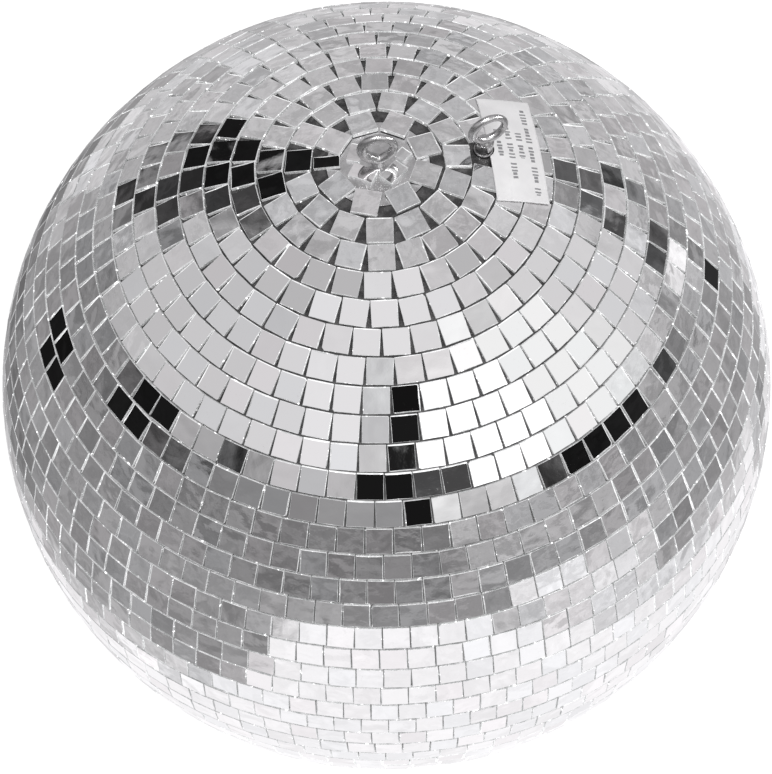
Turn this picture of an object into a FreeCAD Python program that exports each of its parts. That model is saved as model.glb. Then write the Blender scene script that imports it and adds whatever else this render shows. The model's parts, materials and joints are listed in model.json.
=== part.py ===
import FreeCAD, Part
import math
import os

import Sketcher

# Mirror ball of the nominal 300 mm size, hung by one eye, in millimetres.
# The row frame's origin is the centre of the hanging eye's hole and +Z is up.
# Every sub-part is drawn about the ball's centre and then lowered into place.

Vector = FreeCAD.Vector
Rotation = FreeCAD.Rotation
Placement = FreeCAD.Placement

# Driving dimensions: alias, value, what it is
DRIVING = [
    ("ball_radius", 145.0, "ball centre to the mirror faces"),
    ("tile_side", 9.75, "side of one square glass tile"),
    ("tile_thick", 1.5, "thickness of the glass"),
    ("tile_pitch", 10.1, "tile spacing along a row, joint included"),
    ("row_step", 4.13, "angle between two rows, seen from the centre"),
    ("core_radius", 143.4, "outside of the plastic core"),
    ("core_wall", 2.4, "wall of the plastic core"),
    ("lap_depth", 3.0, "depth of the half lap between the two halves"),
    ("lap_play", 0.1, "play in the half lap"),
    ("boss_radius", 24.0, "thick pad inside the top of the core"),
    ("boss_floor", 138.0, "height of that pad's underside"),
    ("disc_radius", 18.7, "steel disc at the top pole"),
    ("disc_top", 142.3, "height of the disc's upper face"),
    ("disc_thick", 1.2, "thickness of the disc"),
    ("disc_play", 0.3, "play between the disc and its recess"),
    ("stem_radius", 1.95, "threaded stem of each eye"),
    ("stem_hole", 2.2, "radius of the clearance holes for the stems"),
    ("stem_length", 10.0, "stem below each eye's seat"),
    ("stem_overlap", 0.5, "stem run up into the foot of the hanging eye"),
    ("wire_radius", 1.65, "wire of the hanging eye"),
    ("eye_top_radius", 6.0, "upper arc of the hanging eye, on the wire's centre"),
    ("eye_foot_radius", 3.1, "lower arc of the hanging eye"),
    ("eye_arc_span", 3.6, "between the two arcs' centres"),
    ("eye_foot_height", 2.8, "disc to the lowest point of the wire's centre line"),
    ("neck_foot_radius", 2.3, "neck of the hanging eye where it meets the disc"),
    ("neck_top_radius", 1.7, "neck where it meets the ring"),
    ("eye_turn", 6.0, "turn of the ring's plane about the vertical"),
    ("washer_radius", 6.0, "washers inside the core"),
    ("washer_thick", 1.0, "thickness of those washers"),
    ("nut_flats", 7.0, "across the flats of the hexagon nuts"),
    ("nut_bore", 2.0, "radius of the nuts' bores"),
    ("nut_height", 3.2, "height of the nuts"),
    ("safety_polar", 15.70, "angle of the safety eye from the top pole"),
    ("safety_azimuth", 10.6, "direction of the safety eye, from +X"),
    ("safety_lean", 8.8, "lean of the safety eye's stem from the vertical"),
    ("safety_wire_radius", 1.2, "wire of the safety eye"),
    ("safety_ring_radius", 6.6, "ring of the safety eye, on the wire's centre"),
    ("safety_ring_turn", 21.8, "turn of that ring's plane about its stem"),
    ("ring_standoff", 0.72, "collar to the lowest point of that ring's centre line"),
    ("collar_radius", 3.2, "collar under the safety eye"),
    ("collar_height", 6.4, "height of the collar"),
    ("collar_flange_radius", 3.5, "flange at the collar's foot"),
    ("collar_flange_height", 1.5, "height of that flange"),
    ("shoulder_inset", 0.4, "step from the collar to the cone above it"),
    ("shoulder_height", 2.4, "height of that cone"),
    ("safety_seat_drop", 0.45, "spot face below the core's surface"),
    ("safety_seat_play", 0.2, "play round the flange in its spot face"),
    ("safety_seat_cut", 3.0, "depth that the spot face's cutter travels"),
    ("safety_pad_drop", 4.4, "seat of the inner washer below the surface"),
    ("safety_pad_radius", 5.5, "boss under that washer"),
    ("safety_pad_cover", 1.0, "wall left outside the end of that boss"),
    ("label_width", 20.4, "paper label"),
    ("label_length", 47.5, "paper label"),
    ("label_thick", 0.15, "paper and adhesive"),
    ("label_lift", 0.2, "label above the mirror faces"),
    ("label_polar", 20.4, "angle of the label's centre from the top pole"),
    ("label_azimuth", 10.9, "direction of the label's centre, from +X"),
    ("label_turn", -4.0, "turn of the label about its own normal"),
    ("label_notch", 4.0, "radius cut out of the label round the collar"),
]

ROW_COUNT = 41                  # rows between the two polar openings
MIDDLE_ROW = (ROW_COUNT + 1) // 2
CROWDED_ROWS = {3: 22}          # rows laid closer than the usual spacing
SAFETY_ROW = 3                  # the row that leaves one place for the safety eye
SAFETY_GAP_AZIMUTH = 8.2        # middle of the place left empty in it
GOLDEN_RATIO = (math.sqrt(5) - 1) / 2

# Directions of one joint in each of the upper rows; further rows are staggered
JOINT_AZIMUTHS = {2: -102.5, 4: -98.5, 5: -95.0, 6: -91.0, 7: -95.5, 8: -89.0}

# The first row is laid by eye: directions of its whole tiles, and one cut tile
FIRST_ROW_AZIMUTHS = [106.9, 65.0, 20.8, -19.7, -62.3, -104.5, -144.8, 147.2]
CUT_TILE_AZIMUTH = 178.0
CUT_TILE_WIDTH = 5.0
FIRST_ROW_SHIFT = (-0.15, 0.3)  # the row sits a little off the axis
FIRST_ROW_INWARD = 0.25         # and a little closer in than the other rows' spacing

# Cut tiles on the top disc: centre x, y, width, depth, turn
TOP_CUT_TILES = [
    (-5.6, -4.5, 9.4, 5.9, -24.0),
    (5.6, -4.7, 9.4, 5.9, 48.0),
    (9.1, 3.0, 5.0, 5.0, 48.0),
    (-8.0, 4.6, 7.8, 5.0, 73.0),
]

# Tiles that close the bottom pole: a whole one and four cut ones round it
BOTTOM_CUT_TILES = 4
BOTTOM_CUT_DEPTH = 7.2
BOTTOM_CUT_REACH = 9.0

# Tools that trim the label: taller than anything they cut
LABEL_TRIMMER_HEIGHT = 40.0
NOTCH_CUTTER_HEIGHT = 12.0
HEXAGON = 6

doc = FreeCAD.newDocument("mirror_ball")
sheet = doc.addObject("Spreadsheet::Sheet", "Sizes")
for line, (alias, value, meaning) in enumerate(DRIVING, start=1):
    sheet.set(f"A{line}", meaning)
    sheet.set(f"B{line}", str(value))
    sheet.setAlias(f"B{line}", alias)
doc.recompute()

CENTRE_DROP = (
    "-(Sizes.disc_top + Sizes.eye_foot_height + Sizes.eye_foot_radius"
    " + Sizes.eye_arc_span)"
)

sub_parts = []


def size(alias):
    return float(getattr(sheet, alias))


def number(expression):
    """What an expression over the sheet comes to, as a plain number."""
    result = sheet.evalExpression(expression)
    return float(getattr(result, "Value", result))


def finish_part(part, label, turn=0.0):
    """Name a sub-part, lower it from the ball's centre and keep it for writing."""
    part.Label = label
    part.Placement = Placement(Vector(0, 0, number(CENTRE_DROP)), Rotation(Vector(0, 0, 1), turn))
    part.setExpression("Placement.Base.z", CENTRE_DROP)
    sub_parts.append(part)
    return part


def new_body(name):
    return doc.addObject("PartDesign::Body", name)


def origin_feature(body, role):
    return next(item for item in body.Origin.OriginFeatures if item.Role == role)


def new_sketch(body, name, plane="XY_Plane", offset=None):
    sketch = body.newObject("Sketcher::SketchObject", name)
    sketch.AttachmentSupport = [(origin_feature(body, plane), "")]
    sketch.MapMode = "FlatFace"
    if offset is not None:
        sketch.AttachmentOffset = offset
    return sketch


def bind(sketch, constraint, name, expression):
    """Add a dimension to a sketch and tie it to the sheet."""
    index = sketch.addConstraint(constraint)
    sketch.renameConstraint(index, name)
    sketch.setExpression("Constraints." + name, expression)


def fix_point(sketch, edge, end, name, distances):
    """Hold one end of an edge at distances from the sketch's origin, along X, Y or both."""
    for direction, expression in distances:
        value = number(expression)
        if value == 0:
            axis = {"X": -2, "Y": -1}[direction]
            sketch.addConstraint(Sketcher.Constraint("PointOnObject", edge, end, axis))
        else:
            constraint = Sketcher.Constraint("Distance" + direction, -1, 1, edge, end, value)
            bind(sketch, constraint, name + direction, expression)


def draw_outline(sketch, corners, rounds=()):
    """Closed outline through corners; an edge listed in rounds is an arc about the origin.

    The corner after an arc lies on it, so one distance is enough to fix it.
    """
    points = [Vector(number(across), number(up), 0) for across, up in corners]
    count = len(points)
    starts = []
    for index, start in enumerate(points):
        end = points[(index + 1) % count]
        if index in rounds:
            angles = [math.atan2(point.y, point.x) for point in (start, end)]
            circle = Part.Circle(Vector(0, 0, 0), Vector(0, 0, 1), start.Length)
            sketch.addGeometry(Part.ArcOfCircle(circle, min(angles), max(angles)), False)
            sketch.addConstraint(Sketcher.Constraint("Coincident", index, 3, -1, 1))
            starts.append((1, 2) if angles[0] < angles[1] else (2, 1))
        else:
            sketch.addGeometry(Part.LineSegment(start, end), False)
            starts.append((1, 2))
    for index in range(count):
        after = (index + 1) % count
        joint = Sketcher.Constraint("Coincident", index, starts[index][1], after, starts[after][0])
        sketch.addConstraint(joint)
    for index, (across, up) in enumerate(corners):
        name = f"corner{index}"
        end = starts[index][0]
        if (index - 1) % count not in rounds:
            fix_point(sketch, index, end, name, (("X", across), ("Y", up)))
        elif number(across) == 0:
            fix_point(sketch, index, end, name, [("X", across)])
        else:
            fix_point(sketch, index, end, name, [("Y", up)])


def draw_rectangle(sketch, width, depth):
    """Rectangle centred on the sketch's origin."""
    half_width = number(width) / 2
    half_depth = number(depth) / 2
    corners = [
        Vector(-half_width, -half_depth, 0),
        Vector(half_width, -half_depth, 0),
        Vector(half_width, half_depth, 0),
        Vector(-half_width, half_depth, 0),
    ]
    for index in range(4):
        sketch.addGeometry(Part.LineSegment(corners[index], corners[(index + 1) % 4]), False)
    for index in range(4):
        sketch.addConstraint(Sketcher.Constraint("Coincident", index, 2, (index + 1) % 4, 1))
    for index, kind in enumerate(("Horizontal", "Vertical", "Horizontal", "Vertical")):
        sketch.addConstraint(Sketcher.Constraint(kind, index))
    sketch.addConstraint(Sketcher.Constraint("Symmetric", 0, 1, 2, 1, -1, 1))
    bind(sketch, Sketcher.Constraint("DistanceX", 0, 1, 0, 2, 2 * half_width), "width", width)
    bind(sketch, Sketcher.Constraint("DistanceY", 1, 1, 1, 2, 2 * half_depth), "depth", depth)


def draw_circle(sketch, radius, name="radius"):
    """Circle about the sketch's origin."""
    index = sketch.GeometryCount
    sketch.addGeometry(Part.Circle(Vector(0, 0, 0), Vector(0, 0, 1), number(radius)), False)
    sketch.addConstraint(Sketcher.Constraint("Coincident", index, 3, -1, 1))
    bind(sketch, Sketcher.Constraint("Radius", index, number(radius)), name, radius)


def pad(body, sketch, name, length, reverse=False):
    feature = body.newObject("PartDesign::Pad", name)
    feature.Profile = sketch
    feature.Reversed = reverse
    feature.setExpression("Length", length)
    doc.recompute()
    return feature


def pocket(body, sketch, name, length, reverse=False):
    """Cut along the sketch's normal, or against it, and make sure that it cuts."""
    before = body.Shape.Volume
    feature = body.newObject("PartDesign::Pocket", name)
    feature.Profile = sketch
    feature.Reversed = reverse
    feature.setExpression("Length", length)
    doc.recompute()
    if not body.Shape.Volume < before:
        raise RuntimeError(f"{name} cuts nothing")
    return feature


def revolve(body, sketch, name):
    feature = body.newObject("PartDesign::Revolution", name)
    feature.Profile = sketch
    feature.ReferenceAxis = (sketch, ["V_Axis"])
    feature.Angle = 360
    doc.recompute()
    return feature


# ---------------------------------------------------------------- mirror tiles

TILE_BASE = "(Sizes.ball_radius - Sizes.tile_thick)"


def row_angle(row):
    """Angle of a row's middle from the top pole, as an expression."""
    return f"(90 + ({row - MIDDLE_ROW}) * Sizes.row_step)"


def tiles_that_fit(row):
    """How many places a row has: its pole-side edge divided by the tile spacing."""
    if row in CROWDED_ROWS:
        return CROWDED_ROWS[row]
    from_pole = number(f"90 - abs(90 - {row_angle(row)})")
    angle = math.radians(from_pole)
    inner_edge = size("ball_radius") * math.sin(angle) - size("tile_side") / 2 * math.cos(angle)
    return round(math.pi / math.atan(size("tile_pitch") / 2 / inner_edge))


def first_tile_azimuth(row, places):
    """Direction of the first tile of a row."""
    spacing = 360 / places
    if row == SAFETY_ROW:
        return SAFETY_GAP_AZIMUTH + spacing
    if row in JOINT_AZIMUTHS:
        return JOINT_AZIMUTHS[row] + spacing / 2
    return (row * GOLDEN_RATIO % 1) * spacing


def make_row(row):
    """One row: a tile padded from its tangent plane, repeated round the axis."""
    label = f"mirror_row_{row:02d}"
    body = new_body(label)
    angle = row_angle(row)
    polar = number(angle)
    middle = Vector(number(f"{TILE_BASE} * sin({angle})"), 0, number(f"{TILE_BASE} * cos({angle})"))
    offset = Placement(middle, Rotation(Vector(0, 1, 0), polar))
    sketch = new_sketch(body, label + "_outline", offset=offset)
    sketch.setExpression("AttachmentOffset.Base.x", f"{TILE_BASE} * sin({angle})")
    sketch.setExpression("AttachmentOffset.Base.z", f"{TILE_BASE} * cos({angle})")
    sketch.setExpression("AttachmentOffset.Rotation.Angle", angle)
    draw_rectangle(sketch, "Sizes.tile_side", "Sizes.tile_side")
    tile = pad(body, sketch, label + "_tile", "Sizes.tile_thick")
    places = tiles_that_fit(row)
    pattern = body.newObject("PartDesign::PolarPattern", label + "_pattern")
    pattern.Originals = [tile]
    pattern.Axis = (origin_feature(body, "Z_Axis"), [""])
    if row == SAFETY_ROW:
        pattern.Angle = 360 * (places - 2) / places
        pattern.Occurrences = places - 1
    else:
        pattern.Angle = 360
        pattern.Occurrences = places
    body.Tip = pattern
    doc.recompute()
    expected = pattern.Occurrences
    if len(body.Shape.Solids) != expected:
        raise RuntimeError(f"{label} has {len(body.Shape.Solids)} tiles, not {expected}")
    finish_part(body, label, first_tile_azimuth(row, places))


def laid_tile(name, polar, azimuth, width, depth, height=TILE_BASE, shift=(0.0, 0.0), turn=0.0):
    """A single glass tile on the plane that faces a given direction from the centre."""
    tile = doc.addObject("Part::Box", name)
    tile.setExpression("Length", depth)
    tile.setExpression("Width", width)
    tile.setExpression("Height", "Sizes.tile_thick")
    facing = Placement(Vector(), Rotation(Vector(0, 0, 1), azimuth) * Rotation(Vector(0, 1, 0), polar))
    on_plane = Placement(Vector(*shift, number(height)), Rotation(Vector(0, 0, 1), turn))
    corner = Placement(Vector(-number(depth) / 2, -number(width) / 2, 0), Rotation())
    tile.Placement = facing * on_plane * corner
    return tile


def make_group(label, tiles):
    group = doc.addObject("Part::Compound", label)
    group.Links = tiles
    finish_part(group, label)


def make_first_row():
    """Row laid by eye round the disc: whole tiles and a cut one."""
    polar = number(row_angle(1))
    laid = [(azimuth, "Sizes.tile_side") for azimuth in FIRST_ROW_AZIMUTHS]
    laid.append((CUT_TILE_AZIMUTH, f"{CUT_TILE_WIDTH}"))
    off_x, off_y = FIRST_ROW_SHIFT
    tiles = []
    for index, (azimuth, width) in enumerate(laid, start=1):
        direction = math.radians(azimuth)
        outward = off_x * math.cos(direction) + off_y * math.sin(direction) - FIRST_ROW_INWARD
        sideways = off_y * math.cos(direction) - off_x * math.sin(direction)
        name = f"first_row_tile_{index}"
        shift = (outward, sideways)
        tiles.append(laid_tile(name, polar, azimuth, width, "Sizes.tile_side", shift=shift))
    make_group("mirror_row_01", tiles)


def make_top_cut_tiles():
    tiles = []
    for index, (across, along, width, depth, turn) in enumerate(TOP_CUT_TILES, start=1):
        name = f"top_cut_tile_{index}"
        tile = laid_tile(name, 0, 0, f"{depth}", f"{width}", "Sizes.disc_top", (across, along), turn)
        tiles.append(tile)
    make_group("top_polar_tiles", tiles)


def make_bottom_tiles():
    tiles = [laid_tile("bottom_middle_tile", 180, 0, "Sizes.tile_side", "Sizes.tile_side")]
    tilt = math.degrees(BOTTOM_CUT_REACH / size("ball_radius"))
    for index in range(BOTTOM_CUT_TILES):
        name = f"bottom_cut_tile_{index + 1}"
        depth = f"{BOTTOM_CUT_DEPTH}"
        azimuth = 360 / BOTTOM_CUT_TILES * index
        tiles.append(laid_tile(name, 180 - tilt, azimuth, "Sizes.tile_side", depth))
    make_group("bottom_polar_tiles", tiles)


# ------------------------------------------------------------------------ core

INNER_RADIUS = "(Sizes.core_radius - Sizes.core_wall)"
LAP_RADIUS = "(Sizes.core_radius - Sizes.core_wall / 2)"
RECESS_RADIUS = "(Sizes.disc_radius + Sizes.disc_play)"
RECESS_FLOOR = "(Sizes.disc_top - Sizes.disc_thick)"


def on_sphere(radius, height):
    """Distance from the axis of a point at a height on a sphere."""
    return f"sqrt({radius}^2 - ({height})^2)"


def safety_axis():
    """Stem direction of the safety eye: leaning towards +X."""
    lean = math.radians(size("safety_lean"))
    return Vector(math.sin(lean), 0, math.cos(lean))


def safety_seat(drop):
    """Placement on the safety eye's axis, drop millimetres below the core's surface."""
    polar = math.radians(size("safety_polar"))
    azimuth = math.radians(size("safety_azimuth"))
    outward = Vector(
        math.sin(polar) * math.cos(azimuth),
        math.sin(polar) * math.sin(azimuth),
        math.cos(polar),
    )
    point = outward * size("core_radius") - safety_axis() * drop
    return Placement(point, Rotation(Vector(0, 1, 0), size("safety_lean")))


def make_upper_shell():
    body = new_body("core_upper_shell")
    sketch = new_sketch(body, "upper_shell_profile", "XZ_Plane")
    corners = [
        ("Sizes.core_radius", "0"),
        (RECESS_RADIUS, on_sphere("Sizes.core_radius", RECESS_RADIUS)),
        (RECESS_RADIUS, RECESS_FLOOR),
        ("Sizes.stem_hole", RECESS_FLOOR),
        ("Sizes.stem_hole", "Sizes.boss_floor"),
        ("Sizes.boss_radius", "Sizes.boss_floor"),
        ("Sizes.boss_radius", on_sphere(INNER_RADIUS, "Sizes.boss_radius")),
        (on_sphere(INNER_RADIUS, "Sizes.lap_depth"), "-Sizes.lap_depth"),
        (LAP_RADIUS, "-Sizes.lap_depth"),
        (LAP_RADIUS, "0"),
    ]
    draw_outline(sketch, corners, rounds=(0, 6))
    revolve(body, sketch, "upper_shell_wall")
    # boss inside, spot face outside and stem hole for the safety eye
    boss = new_sketch(body, "safety_boss_outline", offset=safety_seat(size("safety_pad_drop")))
    draw_circle(boss, "Sizes.safety_pad_radius")
    pad(body, boss, "safety_boss", "Sizes.safety_pad_drop - Sizes.safety_pad_cover")
    seat = new_sketch(body, "safety_seat_outline", offset=safety_seat(size("safety_seat_drop")))
    draw_circle(seat, "Sizes.collar_flange_radius + Sizes.safety_seat_play")
    pocket(body, seat, "safety_spot_face", "Sizes.safety_seat_cut", reverse=True)
    hole = new_sketch(body, "safety_hole_outline", offset=safety_seat(0))
    draw_circle(hole, "Sizes.stem_hole")
    pocket(body, hole, "safety_stem_hole", "2 * Sizes.safety_pad_drop")
    finish_part(body, "core_upper_shell")


def make_lower_shell():
    body = new_body("core_lower_shell")
    sketch = new_sketch(body, "lower_shell_profile", "XZ_Plane")
    lap_outside = f"({LAP_RADIUS} + Sizes.lap_play)"
    lap_floor = "(-Sizes.lap_depth - Sizes.lap_play)"
    corners = [
        ("0", "-Sizes.core_radius"),
        ("Sizes.core_radius", "0"),
        (lap_outside, "0"),
        (lap_outside, lap_floor),
        (on_sphere(INNER_RADIUS, lap_floor), lap_floor),
        ("0", f"-{INNER_RADIUS}"),
    ]
    draw_outline(sketch, corners, rounds=(0, 4))
    revolve(body, sketch, "lower_shell_wall")
    finish_part(body, "core_lower_shell")


# --------------------------------------------------------------- hanging point

def level(height):
    """Placement on the ball's axis at a height above its centre."""
    return Placement(Vector(0, 0, height), Rotation())


def make_top_disc():
    body = new_body("top_pole_disc")
    sketch = new_sketch(body, "disc_outline", offset=level(number(RECESS_FLOOR)))
    sketch.setExpression("AttachmentOffset.Base.z", RECESS_FLOOR)
    draw_circle(sketch, "Sizes.disc_radius", "rim")
    draw_circle(sketch, "Sizes.stem_hole", "hole")
    pad(body, sketch, "disc_plate", "Sizes.disc_thick")
    finish_part(body, "top_pole_disc")


def egg_wire():
    """Centre line of the hanging eye's wire in the XZ plane: two arcs and two tangents."""
    top_radius = size("eye_top_radius")
    foot_radius = size("eye_foot_radius")
    span = size("eye_arc_span")
    foot_height = size("disc_top") + size("eye_foot_height") + foot_radius
    slope = math.asin((top_radius - foot_radius) / span)
    side = Vector(math.cos(slope), 0, -math.sin(slope))
    mirror = Vector(-side.x, 0, side.z)
    top_centre = Vector(0, 0, foot_height + span)
    foot_centre = Vector(0, 0, foot_height)
    up = Vector(0, 0, 1)
    right_top = top_centre + side * top_radius
    right_foot = foot_centre + side * foot_radius
    left_top = top_centre + mirror * top_radius
    left_foot = foot_centre + mirror * foot_radius
    edges = [
        Part.Arc(right_top, top_centre + up * top_radius, left_top).toShape(),
        Part.LineSegment(left_top, left_foot).toShape(),
        Part.Arc(left_foot, foot_centre - up * foot_radius, right_foot).toShape(),
        Part.LineSegment(right_foot, right_top).toShape(),
    ]
    return Part.Wire(edges)


def make_hanging_eye():
    """Egg-shaped ring of round wire on a coned neck, with a threaded stem below."""
    path = egg_wire()
    top = path.Edges[0].valueAt(path.Edges[0].FirstParameter)
    tangent = path.Edges[0].tangentAt(path.Edges[0].FirstParameter)
    section = Part.Wire(Part.Circle(top, tangent, size("wire_radius")).toShape())
    ring = path.makePipeShell([section], True, False)
    disc_top = size("disc_top")
    neck_height = size("eye_foot_height")
    neck = Part.makeCone(
        size("neck_foot_radius"), size("neck_top_radius"), neck_height, Vector(0, 0, disc_top)
    )
    length = size("stem_length")
    foot = Vector(0, 0, disc_top - length)
    stem = Part.makeCylinder(size("stem_radius"), length + size("stem_overlap"), foot)
    eye = doc.addObject("Part::Feature", "hanging_eye")
    turned = ring.fuse([neck, stem]).removeSplitter()
    turned.rotate(Vector(), Vector(0, 0, 1), size("eye_turn"))
    eye.Shape = turned
    finish_part(eye, "hanging_eye")


def make_washer(label, seat):
    body = new_body(label)
    sketch = new_sketch(body, label + "_outline", offset=seat)
    draw_circle(sketch, "Sizes.washer_radius", "rim")
    draw_circle(sketch, "Sizes.stem_hole", "hole")
    pad(body, sketch, label + "_plate", "Sizes.washer_thick", reverse=True)
    finish_part(body, label)


def make_nut(label, seat):
    """Hexagon nut hanging below its seat."""
    body = new_body(label)
    sketch = new_sketch(body, label + "_outline", offset=seat)
    corner_radius = "Sizes.nut_flats / sqrt(3)"
    reach = number(corner_radius)
    corners = [
        Rotation(Vector(0, 0, 1), 360 / HEXAGON * corner).multVec(Vector(reach, 0, 0))
        for corner in range(HEXAGON)
    ]
    for index in range(HEXAGON):
        side = Part.LineSegment(corners[index], corners[(index + 1) % HEXAGON])
        sketch.addGeometry(side, False)
    for index in range(HEXAGON):
        after = (index + 1) % HEXAGON
        sketch.addConstraint(Sketcher.Constraint("Coincident", index, 2, after, 1))
    circle = Part.Circle(Vector(0, 0, 0), Vector(0, 0, 1), reach)
    sketch.addGeometry(circle, True)
    sketch.addConstraint(Sketcher.Constraint("Coincident", HEXAGON, 3, -1, 1))
    for index in range(HEXAGON):
        sketch.addConstraint(Sketcher.Constraint("PointOnObject", index, 1, HEXAGON))
    for index in range(HEXAGON - 1):
        sketch.addConstraint(Sketcher.Constraint("Equal", index, index + 1))
    sketch.addConstraint(Sketcher.Constraint("PointOnObject", 0, 1, -1))
    bind(sketch, Sketcher.Constraint("Radius", HEXAGON, reach), "corner_radius", corner_radius)
    draw_circle(sketch, "Sizes.nut_bore", "bore")
    pad(body, sketch, label + "_hexagon", "Sizes.nut_height", reverse=True)
    finish_part(body, label)


# ------------------------------------------------------------------ safety eye

def make_safety_collar():
    body = new_body("safety_eye_collar")
    seat = safety_seat(size("safety_seat_drop"))
    flange = new_sketch(body, "collar_flange_outline", offset=seat)
    draw_circle(flange, "Sizes.collar_flange_radius", "rim")
    draw_circle(flange, "Sizes.stem_hole", "hole")
    pad(body, flange, "collar_flange", "Sizes.collar_flange_height")
    barrel = new_sketch(body, "collar_barrel_outline", offset=seat)
    draw_circle(barrel, "Sizes.collar_radius", "rim")
    draw_circle(barrel, "Sizes.stem_hole", "hole")
    pad(body, barrel, "collar_barrel", "Sizes.collar_height")
    finish_part(body, "safety_eye_collar")


def make_safety_eye():
    """Round ring of wire standing on the collar, with its stem through the core."""
    ring = doc.addObject("Part::Torus", "safety_ring")
    ring.setExpression("Radius1", "Sizes.safety_ring_radius")
    ring.setExpression("Radius2", "Sizes.safety_wire_radius")
    top_of_collar = size("safety_seat_drop") - size("collar_height")
    ring_lift = size("safety_ring_radius") + size("ring_standoff")
    upright = Rotation(Vector(0, 0, 1), size("safety_ring_turn")) * Rotation(Vector(1, 0, 0), 90)
    ring.Placement = safety_seat(top_of_collar) * Placement(Vector(0, 0, ring_lift), upright)
    shoulder = doc.addObject("Part::Cone", "safety_shoulder")
    shoulder.setExpression("Radius1", "Sizes.collar_radius - Sizes.shoulder_inset")
    shoulder.setExpression("Radius2", "Sizes.safety_wire_radius")
    shoulder.setExpression("Height", "Sizes.shoulder_height")
    shoulder.Placement = safety_seat(top_of_collar)
    stem = doc.addObject("Part::Cylinder", "safety_stem")
    stem.setExpression("Radius", "Sizes.stem_radius")
    stem.setExpression("Height", "Sizes.stem_length + Sizes.collar_height")
    stem.Placement = safety_seat(size("safety_seat_drop") + size("stem_length"))
    eye = doc.addObject("Part::MultiFuse", "safety_eye")
    eye.Shapes = [ring, shoulder, stem]
    doc.recompute()
    finish_part(eye, "safety_eye")


# ----------------------------------------------------------------------- label

def make_label():
    """Paper label bent over the mirror faces, notched round the safety eye's collar."""
    under = "Sizes.ball_radius + Sizes.label_lift"
    outer = doc.addObject("Part::Sphere", "label_outside")
    outer.setExpression("Radius", f"{under} + Sizes.label_thick")
    inner = doc.addObject("Part::Sphere", "label_inside")
    inner.setExpression("Radius", under)
    skin = doc.addObject("Part::Cut", "label_skin")
    skin.Base = outer
    skin.Tool = inner
    block = doc.addObject("Part::Box", "label_block")
    block.setExpression("Length", "Sizes.label_width")
    block.setExpression("Width", "Sizes.label_length")
    block.Height = LABEL_TRIMMER_HEIGHT
    azimuth = size("label_azimuth")
    facing = Rotation(Vector(0, 0, 1), azimuth) * Rotation(Vector(0, 1, 0), size("label_polar"))
    turned = facing * Rotation(Vector(0, 0, 1), size("label_turn"))
    foot = size("ball_radius") - LABEL_TRIMMER_HEIGHT / 2
    corner = Vector(-size("label_width") / 2, -size("label_length") / 2, foot)
    block.Placement = Placement(Vector(), turned) * Placement(corner, Rotation())
    sheet_piece = doc.addObject("Part::Common", "label_sheet")
    sheet_piece.Base = skin
    sheet_piece.Tool = block
    notch = doc.addObject("Part::Cylinder", "label_notch_tool")
    notch.setExpression("Radius", "Sizes.label_notch")
    notch.Height = NOTCH_CUTTER_HEIGHT
    notch.Placement = safety_seat(0)
    label = doc.addObject("Part::Cut", "safety_label")
    label.Base = sheet_piece
    label.Tool = notch
    doc.recompute()
    finish_part(label, "safety_label")


def check_and_write():
    """Stop on any failed object or bad shape, then write one file for each sub-part."""
    doc.recompute()
    for item in doc.Objects:
        if "Invalid" in item.State or "Error" in item.State:
            raise RuntimeError(f"{item.Name} failed: {item.State}")
    os.makedirs("parts", exist_ok=True)
    for part in sub_parts:
        if part.Shape.isNull() or not part.Shape.isValid():
            raise RuntimeError(f"{part.Label} has a bad shape")
        part.Shape.exportStep(f"parts/{part.Label}.step")
        print(part.Label, len(part.Shape.Solids), round(part.Shape.Volume, 1))


make_first_row()
for row_number in range(2, ROW_COUNT + 1):
    make_row(row_number)
make_top_cut_tiles()
make_bottom_tiles()
make_upper_shell()
make_lower_shell()
make_top_disc()
make_hanging_eye()
make_washer("hanging_eye_washer", level(size("boss_floor")))
make_nut("hanging_eye_nut", level(size("boss_floor") - size("washer_thick")))
make_safety_collar()
make_safety_eye()
make_washer("safety_eye_washer", safety_seat(size("safety_pad_drop")))
make_nut("safety_eye_nut", safety_seat(size("safety_pad_drop") + size("washer_thick")))
make_label()
check_and_write()
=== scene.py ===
import json
import math
import random

import bmesh
import bpy
from mathutils import Matrix, Vector


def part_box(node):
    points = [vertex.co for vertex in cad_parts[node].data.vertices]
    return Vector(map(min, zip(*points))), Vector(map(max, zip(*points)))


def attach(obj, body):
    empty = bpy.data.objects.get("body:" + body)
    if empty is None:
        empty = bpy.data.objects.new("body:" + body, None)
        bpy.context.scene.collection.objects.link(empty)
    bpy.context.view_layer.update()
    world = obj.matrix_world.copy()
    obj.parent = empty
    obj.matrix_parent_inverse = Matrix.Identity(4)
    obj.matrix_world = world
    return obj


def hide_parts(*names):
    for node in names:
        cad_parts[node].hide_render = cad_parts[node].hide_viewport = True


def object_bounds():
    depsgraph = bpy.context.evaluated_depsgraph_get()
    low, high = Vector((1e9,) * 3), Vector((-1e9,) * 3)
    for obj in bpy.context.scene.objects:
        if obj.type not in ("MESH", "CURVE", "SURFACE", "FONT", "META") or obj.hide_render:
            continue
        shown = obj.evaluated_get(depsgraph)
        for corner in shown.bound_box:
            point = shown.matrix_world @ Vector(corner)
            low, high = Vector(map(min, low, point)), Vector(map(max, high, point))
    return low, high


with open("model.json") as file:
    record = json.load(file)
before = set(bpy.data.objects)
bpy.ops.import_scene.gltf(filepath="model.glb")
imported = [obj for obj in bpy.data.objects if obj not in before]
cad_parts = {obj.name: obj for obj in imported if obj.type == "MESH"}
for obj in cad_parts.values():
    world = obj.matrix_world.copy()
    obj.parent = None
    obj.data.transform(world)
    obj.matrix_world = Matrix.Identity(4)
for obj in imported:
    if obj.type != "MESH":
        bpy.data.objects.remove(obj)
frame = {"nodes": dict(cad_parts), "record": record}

# Looks of the mirror ball, in metres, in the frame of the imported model.

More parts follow.
